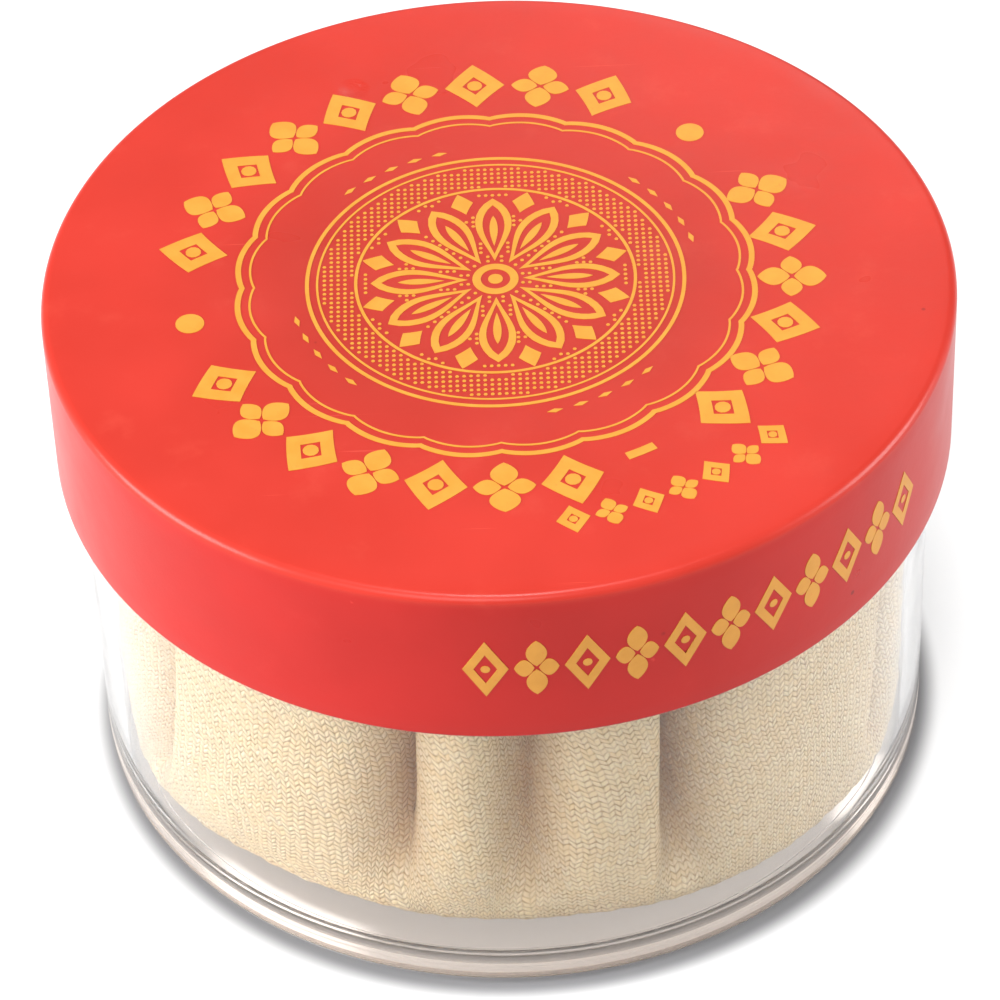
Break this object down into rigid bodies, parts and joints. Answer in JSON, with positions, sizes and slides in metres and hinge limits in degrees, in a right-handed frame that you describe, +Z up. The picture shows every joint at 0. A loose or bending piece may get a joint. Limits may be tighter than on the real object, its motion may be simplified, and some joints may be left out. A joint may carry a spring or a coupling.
{
  "type": "rosin cake in a lidded jar",
  "caption": "Round clear jar with a red slip-on lid, holding a cake of bow rosin bonded into a pleated knitted cloth.",
  "frame": {"origin": "centre of the jar's foot ring, on the plane it stands on", "axes": "+Z up the jar's axis towards the lid; -Y is the front, with the ornament on the lid's skirt to its right"},
  "size_m": [0.054, 0.054, 0.0335],
  "materials": {
    "lid_plastic": "gloss, moulded",
    "jar_plastic": "clear, polished",
    "knit": "plain knitted cotton",
    "glue": "dried clear adhesive",
    "rosin": "cast, glassy"
  },
  "bodies": {
    "jar": {"jar": "jar_plastic"},
    "lid": {"lid": "lid_plastic"},
    "cake": {"rosin_cake": "rosin", "glue_layer": "glue", "wrapping_cloth": "knit"}
  },
  "joints": [
    {"name": "lid_lift", "type": "slide", "parent": "jar", "child": "lid", "axis": [0, 0, 1], "range_m": [0, 0.07]},
    {"name": "cake_lift", "type": "slide", "parent": "jar", "child": "cake", "axis": [0, 0, 1], "range_m": [0, 0.035]}
  ],
  "couplings": [
    {"joint": "cake_lift", "follows": "lid_lift", "ratio": 0.5}
  ]
}
